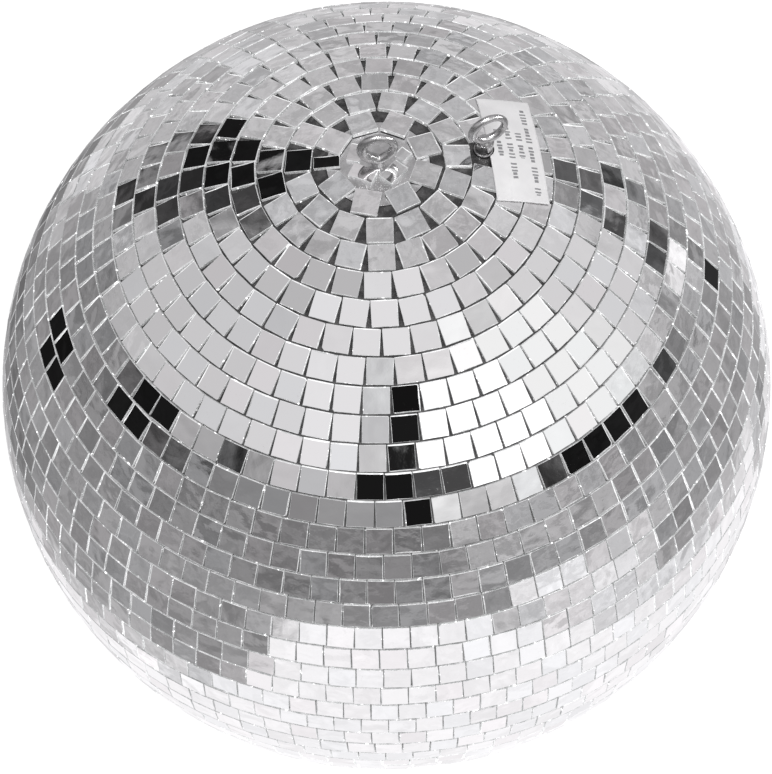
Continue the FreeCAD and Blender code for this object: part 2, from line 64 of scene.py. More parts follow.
cad_low, cad_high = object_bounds()
NODES = frame["nodes"]
MOUNTS = {mount["name"]: mount for mount in frame["record"]["mounts"]}
MM = 0.001

# The lower half of the core ends at the height of the ball's centre
CENTRE = Vector((0, 0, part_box("core_lower_shell")[1].z))
FLOOR_HEIGHT = cad_low.z
DISC_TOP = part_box("top_pole_disc")[1].z


# --------------------------------------------------------------- shader helper

class Tree:
    """Short way of wiring a node tree."""

    def __init__(self, tree):
        self.tree = tree
        tree.nodes.clear()

    def add(self, kind, **settings):
        node = self.tree.nodes.new(kind)
        for name, value in settings.items():
            setattr(node, name, value)
        return node

    def put(self, socket, value):
        """Links a socket to another one, or sets its number."""
        if isinstance(value, bpy.types.NodeSocket):
            self.tree.links.new(value, socket)
        else:
            socket.default_value = value

    def math(self, operation, *values):
        node = self.add("ShaderNodeMath", operation=operation)
        for socket, value in zip(node.inputs, values):
            self.put(socket, value)
        return node.outputs[0]

    def product(self, values):
        """All the values multiplied."""
        total = values[0]
        for value in values[1:]:
            total = self.math("MULTIPLY", total, value)
        return total

    def vector(self, operation, *values):
        node = self.add("ShaderNodeVectorMath", operation=operation)
        for socket, value in zip(node.inputs, values):
            self.put(socket, value)
        return node.outputs["Vector"]

    def split(self, vector):
        """The X, Y and Z of a vector."""
        node = self.add("ShaderNodeSeparateXYZ")
        self.put(node.inputs[0], vector)
        return node.outputs

    def attribute(self, name):
        """A value that the mesh carries at its vertices."""
        return self.add("ShaderNodeAttribute", attribute_name=name).outputs["Fac"]

    def fade(self, value, start, end, low=0.0, high=1.0):
        """Smooth step from low at start to high at end."""
        node = self.add("ShaderNodeMapRange", interpolation_type="SMOOTHSTEP")
        for socket, given in zip(node.inputs, (value, start, end, low, high)):
            self.put(socket, given)
        return node.outputs[0]

    def mix(self, mask, below, above, blend="MIX"):
        """The colour below where the mask is 0 and the one above where it is 1."""
        node = self.add("ShaderNodeMix", data_type="RGBA", blend_type=blend)
        self.put(node.inputs[0], mask)
        self.put(node.inputs[6], below)
        self.put(node.inputs[7], above)
        return node.outputs[2]

    def noise(self, vector, scale, detail, roughness, distortion=0.0, output="Fac"):
        node = self.add("ShaderNodeTexNoise")
        self.put(node.inputs["Vector"], vector)
        node.inputs["Scale"].default_value = scale
        node.inputs["Detail"].default_value = detail
        node.inputs["Roughness"].default_value = roughness
        node.inputs["Distortion"].default_value = distortion
        return node.outputs[output]

    def bump(self, height, distance, strength, normal=None):
        node = self.add("ShaderNodeBump")
        node.inputs["Strength"].default_value = strength
        node.inputs["Distance"].default_value = distance
        self.put(node.inputs["Height"], height)
        if normal is not None:
            self.put(node.inputs["Normal"], normal)
        return node.outputs[0]


GREY_TINT = (1.0, 0.986, 1.003)     # the photograph's greys have a little less green


def grey(value):
    """A grey as it shows on a screen, 0 to 255, as a linear colour."""
    share = value / 255
    linear = ((share + 0.055) / 1.055) ** 2.4 if share > 0.04 else share / 12.92
    return tuple(linear * channel for channel in GREY_TINT) + (1.0,)


def surface(name, colour, metallic, roughness):
    """A material, its tree, its Principled shader and the place on the object."""
    material = bpy.data.materials.new(name)
    material.use_nodes = True
    tree = Tree(material.node_tree)
    shader = tree.add("ShaderNodeBsdfPrincipled")
    output = tree.add("ShaderNodeOutputMaterial")
    tree.put(output.inputs["Surface"], shader.outputs[0])
    shader.inputs["Base Color"].default_value = colour
    shader.inputs["Metallic"].default_value = metallic
    shader.inputs["Roughness"].default_value = roughness
    place = tree.add("ShaderNodeTexCoord").outputs["Object"]
    return material, tree, shader, place


# ------------------------------------------------------------------- materials

# Colours, linear
SILVER = (0.932, 0.930, 0.932, 1)
SILVER_COOL = (0.920, 0.932, 0.942, 1)
SILVER_WARM = (0.942, 0.922, 0.930, 1)
SILVER_DARK = (0.55, 0.55, 0.56, 1)
DUST = (0.80, 0.79, 0.79, 1)
CUT_GLASS = (0.90, 0.90, 0.91, 1)
CUT_GLASS_DARK = (0.58, 0.60, 0.60, 1)
SMEAR_DARK = (0.035, 0.034, 0.035, 1)
SMEAR = (0.085, 0.083, 0.084, 1)
DABS = (0.20, 0.195, 0.195, 1)
# painted light: adhesive painted paler, used low on the ball
PAINTED_LIGHT_ADHESIVE = (0.62, 0.615, 0.615, 1)
BACK_PAINT = (0.17, 0.16, 0.16, 1)
BACK_PAINT_DARK = (0.11, 0.105, 0.105, 1)
DISC_GREY = (0.76, 0.755, 0.76, 1)
EYE_GREY = (0.56, 0.555, 0.56, 1)
NUT_GREY = (0.58, 0.575, 0.575, 1)
ZINC_DARKER = 0.72
LABEL_WHITE = (0.93, 0.925, 0.93, 1)
LABEL_SHADE = (0.86, 0.855, 0.86, 1)
LABEL_INK = (0.30, 0.30, 0.31, 1)

MOST_TONE = 0.07            # how far the darkest tile goes towards SILVER_DARK
# Painted light: the cut edges glow more low on the ball, a painted glow for the light that glass
# picks up from the ground
LOW_GLOW = 0.55
LOW_GLOW_FROM = CENTRE.z - 0.01
LOW_GLOW_FULL = CENTRE.z - 0.08
PAINTED_GLINT_GLOW = 1.4            # painted glints: bright glowing specks on the cut edges
# Painted light: the adhesive is painted paler low on the ball, for the same light from the ground
PALE_FROM = CENTRE.z + 0.125
PALE_FULL = CENTRE.z - 0.04


def mirror_material():
    """Back-silvered glass: a near perfect mirror, its tint a little different on each tile."""
    material, tree, shader, place = surface("mirror", grey(242), 1.0, 0.02)
    tone = tree.attribute("tile_tone")
    hue = tree.attribute("tile_hue")
    cool = tree.mix(tree.fade(hue, 0.0, 0.5), SILVER_COOL, SILVER)
    warm = tree.mix(tree.fade(hue, 0.6, 1.0), cool, SILVER_WARM)
    toned = tree.mix(tree.fade(tone, 0.0, 1.0, 0.0, MOST_TONE), warm, SILVER_DARK)
    dust = tree.noise(place, 900.0, 3.0, 0.6)
    smear = tree.noise(place, 90.0, 2.0, 0.5)
    film = tree.product((tree.fade(dust, 0.60, 0.80), tree.fade(smear, 0.45, 0.7)))
    tree.put(shader.inputs["Base Color"], tree.mix(film, toned, DUST))
    tree.put(shader.inputs["Roughness"], tree.fade(film, 0.0, 1.0, 0.015, 0.16))
    wave = tree.noise(place, 120.0, 1.0, 0.4)
    ripple = tree.noise(place, 650.0, 2.0, 0.5)
    rippled = tree.bump(ripple, 0.0000022, 1.0)
    tree.put(shader.inputs["Normal"], tree.bump(wave, 0.00004, 1.0, rippled))
    return material


def cut_edge_material():
    """The snapped sides and ground arrises of the glass: white, rough and glinting, with a
    painted glow and painted glints.
    """
    material, tree, shader, place = surface("cut_glass_edge", grey(236), 0.0, 0.3)
    shader.inputs["Specular IOR Level"].default_value = 0.7
    grain = tree.noise(place, 2600.0, 3.0, 0.7)
    patch = tree.noise(place, 420.0, 2.0, 0.5)
    glass = tree.mix(tree.fade(patch, 0.35, 0.7), CUT_GLASS, CUT_GLASS_DARK)
    tree.put(shader.inputs["Base Color"], glass)
    tree.put(shader.inputs["Metallic"], tree.fade(grain, 0.42, 0.56, 0.25, 0.95))
    tree.put(shader.inputs["Roughness"], tree.fade(patch, 0.3, 0.7, 0.12, 0.36))
    tree.put(shader.inputs["Normal"], tree.bump(grain, 0.00012, 0.9))
    # Painted light: the cut edges glow though they are no lamp, brighter on far sides as a
    # painted highlight, low on the ball and in painted glints
    shader.inputs["Emission Color"].default_value = (1, 1, 1, 1)
    # painted glow, stronger low on the ball
    height = tree.split(place)["Z"]
    low = tree.fade(height, LOW_GLOW_FROM, LOW_GLOW_FULL, 0.0, LOW_GLOW)
    glow = tree.math("MAXIMUM", tree.attribute("painted_edge_glow"), low)
    # painted glints: small specks of the cut edges glow brightly
    glint_noise = tree.noise(place, 620.0, 1.0, 0.5)
    painted_glints = tree.fade(glint_noise, 0.69, 0.73, 0.0, PAINTED_GLINT_GLOW)
    tree.put(shader.inputs["Emission Strength"], tree.math("ADD", glow, painted_glints))
    return material


def core_material():
    """Dark moulded plastic smeared with grey adhesive, painted paler low on the ball as painted
    light.
    """
    material, tree, shader, place = surface("core_plastic", grey(60), 0.0, 0.55)
    broad = tree.noise(place, 260.0, 3.0, 0.6)
    fine = tree.noise(place, 1500.0, 3.0, 0.6)
    smear = tree.mix(tree.fade(broad, 0.38, 0.62), SMEAR_DARK, SMEAR)
    dabs = tree.mix(tree.fade(fine, 0.60, 0.78), smear, DABS)
    # painted light: the adhesive is painted paler low on the ball
    low = tree.fade(tree.split(place)["Z"], PALE_FROM, PALE_FULL)
    tree.put(shader.inputs["Base Color"], tree.mix(low, dabs, PAINTED_LIGHT_ADHESIVE))
    tree.put(shader.inputs["Roughness"], tree.fade(broad, 0.35, 0.65, 0.65, 0.32))
    tree.put(shader.inputs["Normal"], tree.bump(fine, 0.0003, 0.8))
    return material


def backing_material():
    """Grey paint that seals the silver on the back of a tile."""
    material, tree, shader, place = surface("mirror_backing", grey(110), 0.0, 0.6)
    fine = tree.noise(place, 800.0, 3.0, 0.6)
    coat = tree.mix(tree.fade(fine, 0.3, 0.7), BACK_PAINT, BACK_PAINT_DARK)
    tree.put(shader.inputs["Base Color"], coat)
    tree.put(shader.inputs["Normal"], tree.bump(fine, 0.0001, 0.6))
    return material


def zinc_material(name, colour, roughness, spangle, wear):
    """Zinc-plated steel: faint spangle, fine scratches and duller patches."""
    material, tree, shader, place = surface(name, colour, 1.0, roughness)
    cloud = tree.noise(place, spangle, 3.0, 0.6)
    fine = tree.noise(place, spangle * 9, 3.0, 0.7)
    darker = tuple(channel * ZINC_DARKER for channel in colour[:3]) + (1,)
    tree.put(shader.inputs["Base Color"], tree.mix(tree.fade(cloud, 0.35, 0.72), colour, darker))
    blend = tree.math("ADD", tree.math("MULTIPLY", cloud, 0.6), tree.math("MULTIPLY", fine, 0.4))
    tree.put(shader.inputs["Roughness"], tree.fade(blend, 0.3, 0.7, roughness, roughness + wear))
    tree.put(shader.inputs["Normal"], tree.bump(fine, 0.00006, 0.5))
    return material


# Rows of plain dashes on the label: place across it, start and end along it, as shares of
# its width and length. The dashes' half heights are shares of the width.
LABEL_ROWS = [(0.22, 0.41, 0.67), (0.42, 0.20, 0.76), (0.62, 0.40, 0.66), (0.81, 0.07, 0.93)]
DASH_TALL = 0.058
DASH_LOW = 0.038
DASHES_ALONG = 32.0
DASHES_A_GROUP = 6.0
DASH_LENGTH = (0.45, 0.80)  # share of a dash's place that it fills
ROW_SHIFT = 0.37            # from row to row, in dashes
ROW_SEED = 50.0             # from row to row, so that no two rows are alike


def label_material():
    """Matt white paper printed with four rows of plain grey dashes, which spell nothing."""
    material, tree, shader, place = surface("label_paper", grey(240), 0.0, 0.72)
    across, along, _ = tree.split(tree.add("ShaderNodeUVMap", uv_map="label").outputs[0])
    ink = 0.0
    for number, (middle, start, end) in enumerate(LABEL_ROWS):
        off = tree.math("ABSOLUTE", tree.math("SUBTRACT", across, middle))
        dash_place = tree.math("MULTIPLY_ADD", along, DASHES_ALONG, ROW_SHIFT * number)
        cell = tree.math("FLOOR", dash_place)
        chance_node = tree.add("ShaderNodeTexWhiteNoise", noise_dimensions="1D")
        tree.put(chance_node.inputs["W"], tree.math("ADD", cell, ROW_SEED * number))
        chance = chance_node.outputs["Value"]
        group = tree.math("FRACT", tree.math("DIVIDE", cell, DASHES_A_GROUP))
        row_ink = tree.product((
            tree.math("LESS_THAN", off, tree.fade(chance, 0.2, 0.8, DASH_TALL, DASH_LOW)),
            tree.math("LESS_THAN", tree.math("FRACT", dash_place),
                      tree.fade(chance, 0.0, 1.0, *DASH_LENGTH)),
            tree.math("GREATER_THAN", group, 0.5 / DASHES_A_GROUP),
            tree.math("GREATER_THAN", along, start),
            tree.math("LESS_THAN", along, end),
        ))
        ink = tree.math("ADD", row_ink, ink)
    fibre = tree.noise(place, 1800.0, 3.0, 0.6)
    cloud = tree.noise(place, 120.0, 2.0, 0.5)
    paper = tree.mix(tree.fade(cloud, 0.3, 0.7), LABEL_WHITE, LABEL_SHADE)
    tree.put(shader.inputs["Base Color"], tree.mix(ink, paper, LABEL_INK))
    tree.put(shader.inputs["Normal"], tree.bump(fibre, 0.00005, 0.5))
    return material


MIRROR = mirror_material()
CUT_EDGE = cut_edge_material()
BACKING = backing_material()
CORE = core_material()
DISC_ZINC = zinc_material("disc_zinc", DISC_GREY, 0.24, 260.0, 0.12)
EYE_ZINC = zinc_material("eye_zinc", EYE_GREY, 0.22, 420.0, 0.10)
NUT_ZINC = zinc_material("nut_zinc", NUT_GREY, 0.28, 420.0, 0.2)
PAPER = label_material()


def paint(node, material):
    """Gives a carried-over CAD node its material."""
    mesh = NODES[node].data
    mesh.materials.clear()
    mesh.materials.append(material)


def make_mesh(name, bm, materials):
    """An object in the scene from a finished bmesh."""
    mesh = bpy.data.meshes.new(name)
    bm.to_mesh(mesh)
    bm.free()
    for material in materials:
        mesh.materials.append(material)
    made = bpy.data.objects.new(name, mesh)
    bpy.context.scene.collection.objects.link(made)
    return made


def make_piece(name, bm, materials, node):
    """A piece of the ball that stands for one CAD node."""
    piece = make_mesh(name, bm, materials)
    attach(piece, "root")
    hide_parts(node)
    return piece


# ----------------------------------------------------------------------- tiles

TILE_TILT = math.radians(0.42)          # spread of the tiles' lean
TILE_SPIN = math.radians(0.9)           # spread of their turn about their own normals
MOST_TILT = math.radians(1.8)
MOST_SINK = 0.12 * MM                   # below the CAD tile's corners
ARRIS_FACE = (0.06 * MM, 0.22 * MM)     # how far the mirror face stands back from the edge
ARRIS_DROP = (0.08 * MM, 0.22 * MM)     # how deep the broken arris reaches
WIDE_ARRIS = (0.27 * MM, 0.45 * MM)     # some sides are broken wider
TOWARDS_MIDDLE = 1.3                    # a step to the tile's middle for one straight in
BACK_INSET = 0.12 * MM
NEAR_WIDE_SHARE = 0.10                  # how many sides are broken wider
FAR_SHARE = 0.75                        # how many on the far side, and how many get the bright painted glow there
FAR_FACING = 0.6                        # a side faces +Y when this much of it does
# Painted light: glow of the cut edges; far sides get the brighter glow as a painted highlight
PAINTED_HIGHLIGHT_GLOW = (0.32, 0.75)
PAINTED_FAINT_GLOW = (0.08, 0.26)
EDGE_WANDER = 0.05 * MM
CHIPPED_CORNERS = 0.16
CHIP = (0.25 * MM, 1.1 * MM)
SMALL_CHIP = (0.03 * MM, 0.10 * MM)
MOST_OF_A_SIDE = 0.2                    # that one chip may take
POINTS_A_SIDE = 3


def tiles_of(node):
    """Middle, outward normal, front corners in order and thickness of each CAD tile."""
    bm = bmesh.new()
    bm.from_mesh(NODES[node].data)
    bmesh.ops.remove_doubles(bm, verts=bm.verts, dist=0.01 * MM)
    seen = set()
    tiles = []
    for first in bm.verts:
        if first in seen:
            continue
        island, queue = [], [first]
        seen.add(first)
        while queue:
            vert = queue.pop()
            island.append(vert)
            for edge in vert.link_edges:
                other = edge.other_vert(vert)
                if other not in seen:
                    seen.add(other)
                    queue.append(other)
        middle = sum((vert.co for vert in island), Vector()) / len(island)
        outward = (middle - CENTRE).normalized()
        # a dict keeps the faces in order, where a set would mix them anew in each run
        faces = dict.fromkeys(face for vert in island for face in vert.link_faces)
        for face in faces:
            face.normal_update()
        normal = max((face.normal.copy() for face in faces), key=outward.dot)
        heights = [(vert.co - middle).dot(normal) for vert in island]
        front = [vert.co.copy() for vert, height in zip(island, heights) if height > 0]
        thickness = max(heights) - min(heights)
        centre = sum(front, Vector()) / len(front)
        along = (front[0] - centre).normalized()
        across = normal.cross(along)
        front.sort(key=lambda p: math.atan2((p - centre).dot(across), (p - centre).dot(along)))
        tiles.append((centre, normal, front, thickness))
    bm.free()
    tiles.sort(key=lambda tile: round(math.atan2(tile[0].y, tile[0].x), 4))
    return tiles


def chip(rng):
    """How much of a corner is missing."""
    return rng.uniform(*(CHIP if rng.random() < CHIPPED_CORNERS else SMALL_CHIP))


def tile_outline(rng, corners):
    """Nibbled outline of one tile: three points on each side, in order, each with how far
    it wanders inwards."""
    outline = []
    for start, end in zip(corners, corners[1:] + corners[:1]):
        side = end - start
        length = side.length
        begin = min(chip(rng), MOST_OF_A_SIDE * length) / length
        stop = 1 - min(chip(rng), MOST_OF_A_SIDE * length) / length
        for share in (begin, rng.uniform(0.4, 0.6), stop):
            outline.append((start + side * share, rng.uniform(-EDGE_WANDER, EDGE_WANDER)))
    return outline


def add_tile(bm, rng, layers, tile):
    """One tile with its mirror face, broken arris, rough sides with a painted glow, and painted
    back.
    """
    centre, normal, corners, thickness = tile
    lean = Vector((rng.gauss(0, TILE_TILT), rng.gauss(0, TILE_TILT)))
    lean.x = max(-MOST_TILT, min(MOST_TILT, lean.x))
    lean.y = max(-MOST_TILT, min(MOST_TILT, lean.y))
    east = Vector((0, 0, 1)).cross(normal)
    east = east.normalized() if east.length > 0.01 else Vector((1, 0, 0))
    north = normal.cross(east)
    turn = (
        Matrix.Rotation(rng.gauss(0, TILE_SPIN), 4, normal)
        @ Matrix.Rotation(lean.x, 4, east)
        @ Matrix.Rotation(lean.y, 4, north)
    )
    outline = tile_outline(rng, [corner - centre for corner in corners])

    face_back = [rng.uniform(*ARRIS_FACE) for _ in corners]
    painted_glows = []
    for side, corner in enumerate(corners):
        outward = (corner + corners[(side + 1) % len(corners)]) / 2 - centre
        is_far = outward.y > FAR_FACING * outward.length
        if rng.random() < (FAR_SHARE if is_far else NEAR_WIDE_SHARE):
            face_back[side] = rng.uniform(*WIDE_ARRIS)
        # painted highlight: most far sides get the brighter painted glow
        has_painted_highlight = is_far and rng.random() < FAR_SHARE
        painted_glows += [rng.uniform(*(PAINTED_HIGHLIGHT_GLOW if has_painted_highlight else PAINTED_FAINT_GLOW))] * POINTS_A_SIDE
    edge_drop = [rng.uniform(*ARRIS_DROP) for _ in corners]

    face_ring, edge_ring, back_ring = [], [], []
    for index, (point, wander) in enumerate(outline):
        side = index // POINTS_A_SIDE
        inward = -point.normalized()
        face_point = point + inward * face_back[side] * TOWARDS_MIDDLE
        edge_point = point + inward * wander - normal * edge_drop[side]
        back_point = point + inward * (wander + BACK_INSET) - normal * thickness
        face_ring.append(centre + turn @ face_point)
        edge_ring.append(centre + turn @ edge_point)
        back_ring.append(centre + turn @ back_point)

    # a leaning tile is let in until it stands out no further than the CAD tile
    reach = max((corner - CENTRE).length for corner in corners)
    highest = max((point - CENTRE).length for point in face_ring + edge_ring)
    sink = turn @ normal * (max(0.0, highest - reach) + rng.uniform(0, MOST_SINK))
    made = [
        [bm.verts.new(point - sink) for point in ring]
        for ring in (face_ring, edge_ring, back_ring)
    ]
    tone, hue = rng.random(), rng.random()
    for verts in made:
        for vert, glow in zip(verts, painted_glows):
            for layer, value in zip(layers, (tone, hue, glow)):
                vert[layer] = value

    bm.faces.new(made[0]).material_index = 0
    size = len(outline)
    for upper, lower in zip(made, made[1:]):
        for index in range(size):
            following = (index + 1) % size
            quad = (upper[index], lower[index], lower[following], upper[following])
            bm.faces.new(quad).material_index = 1
    bm.faces.new(list(reversed(made[-1]))).material_index = 2


def build_tiles(node):
    """Detailed tiles in the place of one CAD node."""
    rng = random.Random("tiles of " + node)
    bm = bmesh.new()
    layers = [bm.verts.layers.float.new(name) for name in ("tile_tone", "tile_hue", "painted_edge_glow")]
    for tile in tiles_of(node):
        add_tile(bm, rng, layers, tile)
    make_piece(node + "_glass", bm, (MIRROR, CUT_EDGE, BACKING), node)


for tile_node in sorted(NODES):
    if tile_node.startswith("mirror_row_") or tile_node.endswith("_polar_tiles"):
        build_tiles(tile_node)


# ------------------------------------------------------- carried-over CAD nodes

paint("core_upper_shell", CORE)
paint("core_lower_shell", CORE)
paint("top_pole_disc", DISC_ZINC)
paint("safety_eye_collar", EYE_ZINC)
for fastener in ("hanging_eye_washer", "hanging_eye_nut", "safety_eye_washer", "safety_eye_nut"):
    paint(fastener, NUT_ZINC)


# ------------------------------------------------------------------------ eyes

AROUND_RING = 84
AROUND_WIRE = 20
AROUND_STEM = 28
STEM_LENGTH = 10 * MM
STEM_RADIUS = 1.93 * MM
THREAD_PITCH = 0.8 * MM
THREAD_DEPTH = 0.3 * MM
CREST = 0.3                             # end of a crest and place of a root, in pitches
ROOT = 0.65
ROOM_UNDER_THREAD = 0.4 * MM
HANGING_EYE_TURN = math.radians(6.0)
HANGING_FOOT_HEIGHT = 5.9 * MM          # centre of the ring's lower arc above the disc
# Radius of the upper and lower arc, and between their centres
HANGING_ARCS = (6.0 * MM, 3.1 * MM, 3.6 * MM)
# Plain, thin and thick radius of the wire, and which way its thin side is
HANGING_WIRE = (1.65 * MM, 1.40 * MM, 2.10 * MM, math.radians(40))
SAFETY_EYE_TURN = math.radians(21.8)
SAFETY_RING = 6.6 * MM
SAFETY_WIRE = (1.2 * MM, 1.25 * MM, 1.75 * MM, math.radians(50))
SAFETY_FOOT_BELOW = 0.72 * MM           # foot of the ring's neck under the wire's middle
STEM_SPARE = 0.3 * MM                   # the stem stops short of the CAD stem's end
HANGING_THREAD_BELOW = 0.1 * MM         # the threads start this far under the necks
SAFETY_THREAD_BELOW = 0.05 * MM
# Radius and height of each step of the necks
HANGING_NECK = [
    (0.6 * MM, 4.0 * MM), (1.6 * MM, 3.4 * MM), (1.85 * MM, 2.4 * MM), (1.95 * MM, 1.4 * MM),
    (2.15 * MM, 0.7 * MM), (2.3 * MM, 0.25 * MM), (2.3 * MM, 0.0),
]
SAFETY_NECK = [
    (0.7 * MM, 2.6 * MM), (1.3 * MM, 2.2 * MM), (1.7 * MM, 1.5 * MM),
    (2.2 * MM, 0.8 * MM), (2.75 * MM, 0.25 * MM), (2.8 * MM, 0.0),
]


def add_ring(bm, matrix, arcs, wire):
    """Closed ring of forged wire in the matrix's XZ plane. The arcs are measured to the
    plain wire's middle, and the outside keeps the plain wire's outline."""
    top, foot, span = arcs
    plain, thin, thick, thin_way = wire
    turning = math.pi if span == 0 else math.pi - math.acos((top - foot) / span)
    loops = []
    for index in range(AROUND_RING):
        angle = math.tau * index / AROUND_RING
        outward = Vector((math.sin(angle), 0, math.cos(angle)))
        is_foot = span > 0 and abs(math.pi - angle) < math.pi - turning
        centre = Vector((0, 0, 0)) if is_foot else Vector((0, 0, span))
        reach = foot if is_foot else top
        share = 0.5 - 0.5 * math.cos(angle - thin_way)
        radius = thin + (thick - thin) * share
        middle = centre + outward * (reach + plain - radius)
        loop = []
        for step in range(AROUND_WIRE):
            bend = math.tau * step / AROUND_WIRE
            offset = outward * math.cos(bend) + Vector((0, 1, 0)) * math.sin(bend)
            loop.append(bm.verts.new(matrix @ (middle + offset * radius)))
        loops.append(loop)
    for index, loop in enumerate(loops):
        following = loops[(index + 1) % AROUND_RING]
        for step in range(AROUND_WIRE):
            other = (step + 1) % AROUND_WIRE
            bm.faces.new((loop[step], loop[other], following[other], following[step]))


def add_turned(bm, matrix, profile):
    """Solid of revolution about the matrix's Z axis from (radius, height) pairs."""
    loops = []
    for radius, height in profile:
        loop = []
        for step in range(AROUND_STEM):
            angle = math.tau * step / AROUND_STEM
            spot = Vector((radius * math.cos(angle), radius * math.sin(angle), height))
            loop.append(bm.verts.new(matrix @ spot))
        loops.append(loop)
    for upper, lower in zip(loops, loops[1:]):
        for step in range(AROUND_STEM):
            other = (step + 1) % AROUND_STEM
            bm.faces.new((upper[step], lower[step], lower[other], upper[other]))
    bm.faces.new(loops[0])
    bm.faces.new(list(reversed(loops[-1])))


def stem_profile(start, length):
    """Thread crests and roots going down from start."""
    profile = []
    turns = int((length - ROOM_UNDER_THREAD) / THREAD_PITCH)
    for turn in range(turns):
        height = start - turn * THREAD_PITCH
        profile.append((STEM_RADIUS, height))
        profile.append((STEM_RADIUS, height - THREAD_PITCH * CREST))
        profile.append((STEM_RADIUS - THREAD_DEPTH, height - THREAD_PITCH * ROOT))
    profile.append((STEM_RADIUS - THREAD_DEPTH, start - length))
    return profile


def finish_eye(bm, node):
    """Smooth wire and thread, flat ends, and the piece itself."""
    bmesh.ops.recalc_face_normals(bm, faces=bm.faces)
    for face in bm.faces:
        face.smooth = len(face.verts) == 4
    make_piece(node + "_forged", bm, (EYE_ZINC,), node)


def build_hanging_eye():
    """Egg-shaped forged ring on a flared neck, its threaded stem under the disc."""
    bm = bmesh.new()
    turn = Matrix.Rotation(HANGING_EYE_TURN, 4, "Z")
    place = turn @ Matrix.Translation((0, 0, DISC_TOP + HANGING_FOOT_HEIGHT))
    add_ring(bm, place, HANGING_ARCS, HANGING_WIRE)
    below = HANGING_THREAD_BELOW
    profile = HANGING_NECK + stem_profile(-below, STEM_LENGTH - below)
    add_turned(bm, Matrix.Translation((0, 0, DISC_TOP)), profile)
    finish_eye(bm, "hanging_eye")


def build_safety_eye():
    """Round forged ring standing on its collar, its stem going through the core."""
    bm = bmesh.new()
    mount = MOUNTS["safety_eye"]
    axis = Vector(mount["axis"]).normalized()
    centre = Vector(mount["pos_m"])
    upright = Matrix.Rotation(math.atan2(axis.x, axis.z), 4, "Y")
    place = Matrix.Translation(centre) @ upright @ Matrix.Rotation(SAFETY_EYE_TURN, 4, "Z")
    add_ring(bm, place, (SAFETY_RING, SAFETY_RING, 0.0), SAFETY_WIRE)
    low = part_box("safety_eye")[0]
    foot = -(SAFETY_RING + SAFETY_FOOT_BELOW)
    length = (centre.z + foot * axis.z - low.z) / axis.z - STEM_SPARE
    profile = [(radius, foot + height) for radius, height in SAFETY_NECK]
    below = SAFETY_THREAD_BELOW
    profile += stem_profile(foot - below, length - below)
    add_turned(bm, Matrix.Translation(centre) @ upright, profile)
    finish_eye(bm, "safety_eye")


build_hanging_eye()
build_safety_eye()


# ----------------------------------------------------------------------- label

LABEL_AZIMUTH = math.radians(10.9)
LABEL_POLAR = math.radians(20.4)
LABEL_TURN = math.radians(-4.0)
LABEL_WIDTH = 20.4 * MM
LABEL_LENGTH = 47.5 * MM
LABEL_RADIUS = 145.22 * MM
LABEL_NOTCH = 4.0 * MM              # radius of the cut-out round the collar
LABEL_COLUMNS = 34
LABEL_ROWS_OF_FACES = 78
PAPER_THICK = 0.1 * MM
WAVES = 6
WAVE_HEIGHT = 0.025 * MM
WAVE_RATE = (160, 420)              # radians to the metre
FREE_END_FROM = 0.36                # the free end begins here, as a share of the length
FREE_END_LIFT = 6.0 * MM
FREE_END_CURL = 1.5                 # power by which the lift grows towards the end
FREE_END_SLANT = 0.6                # share of the lift at mid width; the +X side has more
# The rows of tiles under the label, whose joints show through it
ROW_STEP = 4.13                     # degrees
ROW_PITCH = 10.45 * MM
ROW_JOINT = 0.79                    # first joint's place, in steps from the pole
JOINT_DEPTH = 0.16 * MM
JOINT_WIDTH = 0.55 * MM


def label_facing():
    """Turns the label's X across, Y along and Z outwards to its place on the ball."""
    return (
        Matrix.Rotation(LABEL_AZIMUTH, 3, "Z")
        @ Matrix.Rotation(LABEL_POLAR, 3, "Y")
        @ Matrix.Rotation(LABEL_TURN, 3, "Z")
    )


def label_hole(facing):
    """Where the safety eye's axis goes through the label, across and along it."""
    mount = MOUNTS["safety_eye"]
    axis = Vector(mount["axis"]).normalized()
    start = Vector(mount["pos_m"]) - CENTRE
    along = start.dot(axis)
    step = math.sqrt(along * along - start.length_squared + LABEL_RADIUS ** 2)
    crossing = facing.transposed() @ (start + axis * (step - along))
    return Vector((crossing.x, crossing.y))


def label_lift(flat, facing, waves):
    """How far the paper stands off its radius: waves, sunk joints and the free end."""
    rise = 0.0
    for rate, heading, phase in waves:
        place = flat.x * math.cos(heading) + flat.y * math.sin(heading)
        rise += WAVE_HEIGHT * math.sin(place * rate + phase)
    flat_radius = math.hypot(*(facing @ Vector((flat.x, flat.y, LABEL_RADIUS))).xy)
    row_place = math.degrees(math.asin(flat_radius / LABEL_RADIUS)) / ROW_STEP
    seam = abs((row_place - ROW_JOINT + 0.5) % 1.0 - 0.5) * ROW_PITCH
    rise -= JOINT_DEPTH * math.exp(-(seam / JOINT_WIDTH) ** 2)
    free_end = max(0.0, -flat.y / LABEL_LENGTH - FREE_END_FROM)
    slant = FREE_END_SLANT + flat.x / LABEL_WIDTH
    lift = FREE_END_LIFT * free_end ** FREE_END_CURL * slant
    return rise + max(lift, 0.0)


